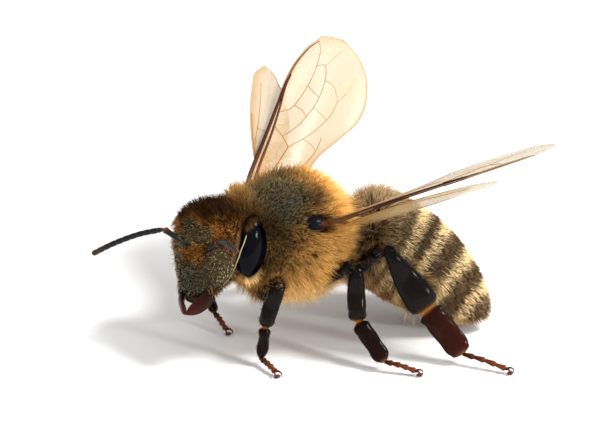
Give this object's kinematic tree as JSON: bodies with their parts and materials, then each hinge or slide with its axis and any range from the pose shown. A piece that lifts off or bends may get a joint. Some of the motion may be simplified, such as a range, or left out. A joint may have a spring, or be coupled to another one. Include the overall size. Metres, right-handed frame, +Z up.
{
  "type": "honey bee",
  "caption": "Life-size worker honey bee standing on its legs, wings half spread, head turned to its left and abdomen bent down and to its left.",
  "frame": {"origin": "the middle of the footprint box, at floor level", "axes": "+Z up, -Y ahead of the bee, +X to the bee's left"},
  "size_m": [0.0142, 0.0152, 0.0089],
  "materials": {
    "coat": "long soft hair, golden to tan",
    "face": "dark shell under short pale hair",
    "band": "brown plates under bands of tan hair",
    "eye": "glossy black facets",
    "shell": "glossy black shell",
    "mandible": "glossy dark red-brown",
    "leg": "glossy black-brown with fine hair",
    "foot": "satin red-brown with fine hair",
    "wing": "clear amber membrane with brown veins"
  },
  "bodies": {
    "root": {"thorax": "coat", "head": "face", "labrum": "shell", "tegula_left": "shell", "eye_left": "eye", "mandible_left": "mandible", "scape_left": "shell", "flagellum_left": "shell", "tegula_right": "shell", "eye_right": "eye", "mandible_right": "mandible", "scape_right": "shell", "flagellum_right": "shell", "abdomen_1": "band", "abdomen_2": "band", "abdomen_3": "band", "abdomen_4": "band", "abdomen_5": "band", "abdomen_6": "band", "waist": "coat", "forewing_left": "wing", "forewing_right": "wing", "hindwing_left": "wing", "hindwing_right": "wing", "femur_front_left": "leg", "tibia_front_left": "leg", "basitarsus_front_left": "foot", "tarsus_front_left": "foot", "femur_middle_left": "leg", "tibia_middle_left": "leg", "basitarsus_middle_left": "foot", "tarsus_middle_left": "foot", "femur_hind_left": "leg", "tibia_hind_left": "leg", "basitarsus_hind_left": "foot", "tarsus_hind_left": "foot", "femur_front_right": "leg", "tibia_front_right": "leg", "basitarsus_front_right": "foot", "tarsus_front_right": "foot", "femur_middle_right": "leg", "tibia_middle_right": "leg", "basitarsus_middle_right": "foot", "tarsus_middle_right": "foot", "femur_hind_right": "leg", "tibia_hind_right": "leg", "basitarsus_hind_right": "foot", "tarsus_hind_right": "foot"}
  },
  "joints": []
}
